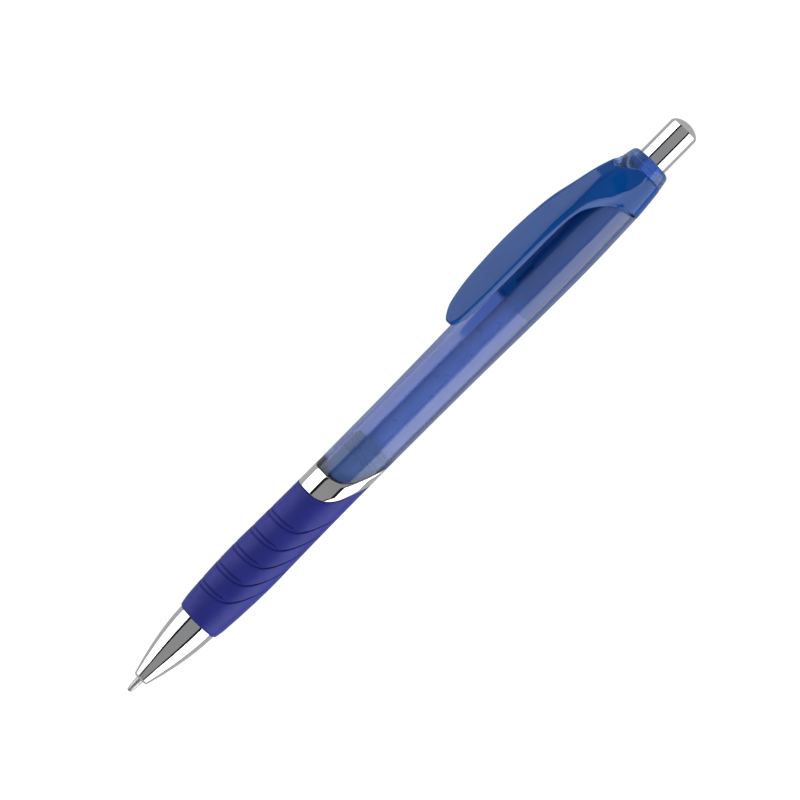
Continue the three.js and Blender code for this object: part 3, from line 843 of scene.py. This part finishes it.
def make_stage_material(name, shade, glow):
    material = bpy.data.materials.new(name)
    material.use_nodes = True
    bsdf = material.node_tree.nodes["Principled BSDF"]
    bsdf.inputs["Base Color"].default_value = (shade, shade, shade, 1)
    bsdf.inputs["Roughness"].default_value = 0.9
    bsdf.inputs["Specular IOR Level"].default_value = 0.1
    bsdf.inputs["Emission Color"].default_value = (1, 1, 1, 1)
    bsdf.inputs["Emission Strength"].default_value = glow
    return material


def add_sheet(name, centre, right, up, material):
    """A flat sheet whose half sizes are the lengths of right and up."""
    corners = [centre - right - up, centre + right - up, centre + right + up, centre - right + up]
    mesh = bpy.data.meshes.new(name)
    mesh.from_pydata([tuple(c) for c in corners], [], [(0, 1, 2, 3)])
    mesh.materials.append(material)
    sheet = bpy.data.objects.new(name, mesh)
    bpy.context.scene.collection.objects.link(sheet)
    return sheet


CAMERA_RAISE = math.radians(42) - math.asin(-TO_CLIP.z)  # the clip is turned 42 degrees from it
TO_CAMERA = Vector((0, math.cos(CAMERA_RAISE), math.sin(CAMERA_RAISE)))
TO_TABLE = TO_CAMERA.cross(ALONG)  # across the view, on the clip's side


def around(degrees):
    """Direction square to the pen, turned from the camera towards the table."""
    angle = math.radians(degrees)
    return TO_CAMERA * math.cos(angle) + TO_TABLE * math.sin(angle)


def add_card(name, start, end, glow, reach):
    """A glowing card along the pen, with that half length, that fills the directions from start
    to end, in degrees."""
    half = math.tan(math.radians((end - start) / 2)) * CARD_DISTANCE
    middle = (start + end) / 2
    centre = AXIS + around(middle) * CARD_DISTANCE
    across = around(middle + 90) * half
    card = add_sheet(name, centre, ALONG * reach, across, make_stage_material(name, 0, glow))
    card.visible_camera = False
    card.visible_shadow = False
    return card


def add_studio():
    """A light tent. Only the camera and what shines through the pen see the floor, so that
    polished metal mirrors the whole tent."""
    floor = add_sheet(
        "floor", Vector((0, 0, -0.0002)), Vector((4, 0, 0)), Vector((0, 4, 0)),
        make_stage_material("floor", 0.08, 1.0),
    )
    floor.visible_glossy = False
    light = bpy.data.lights.new("soft_box", "AREA")
    light.shape = "RECTANGLE"
    light.size = 2 * SOFT_REACH / CARD_DISTANCE
    light.size_y = 2 * math.tan(math.radians((SOFT_END - SOFT_START) / 2))
    light.energy = SOFT_GLOW * math.pi * light.size * light.size_y
    middle = around(-(SOFT_START + SOFT_END) / 2)
    turn = Matrix((ALONG, middle.cross(ALONG), middle)).transposed().to_4x4()
    box = bpy.data.objects.new("soft_box", light)
    box.matrix_world = Matrix.Translation(AXIS + middle) @ turn
    box.visible_camera = False
    bpy.context.scene.collection.objects.link(box)
    add_card("soft_card", SOFT_START, SOFT_END, SOFT_GLOW, SOFT_REACH)
    add_card("grey_card", -FRONT_END, FRONT_END, GREY_GLOW, FRONT_REACH)
    add_card("upper_flag", -SOFT_START, -FRONT_END, FLAG_GLOW, FRONT_REACH)
    add_card("lower_flag", FRONT_END, SOFT_START, FLAG_GLOW, FRONT_REACH)
    fill = add_card("fill_card", -FILL_END, FILL_END, FILL_GLOW, SOFT_REACH)
    fill.location = around(0) * -FILL_NEARER
    fill.visible_glossy = False
    fill.visible_diffuse = False
    world = bpy.data.worlds.new("studio")
    world.use_nodes = True
    world.node_tree.nodes["Background"].inputs["Color"].default_value = (1, 1, 1, 1)
    world.node_tree.nodes["Background"].inputs["Strength"].default_value = ROOM_GLOW
    bpy.context.scene.world = world


def add_camera():
    roll = math.radians(45.27)
    view_width = 0.14545
    middle_along, middle_across = 0.07127, 0.002145
    middle = AXIS + ALONG * middle_along + TO_TABLE * middle_across
    camera = bpy.data.cameras.new("camera")
    camera.lens = 150
    camera.sensor_width = 36
    distance = view_width / 2 / (camera.sensor_width / 2 / camera.lens)
    right = ALONG * math.cos(roll) - TO_TABLE * math.sin(roll)
    up = ALONG * math.sin(roll) + TO_TABLE * math.cos(roll)
    turn = Matrix((right, up, TO_CAMERA)).transposed().to_4x4()
    thing = bpy.data.objects.new("camera", camera)
    thing.matrix_world = Matrix.Translation(middle + TO_CAMERA * distance) @ turn
    bpy.context.scene.collection.objects.link(thing)
    bpy.context.scene.camera = thing


add_nose_cone()
add_grip_sleeve()
add_centre_ring()
add_upper_barrel()
add_clip_cap()
add_top_collar()
add_push_button()
add_refill()
add_return_spring()
add_writing_ball()
dress_kept_nodes()
add_studio()
add_camera()
bpy.context.scene.view_settings.view_transform = "Standard"
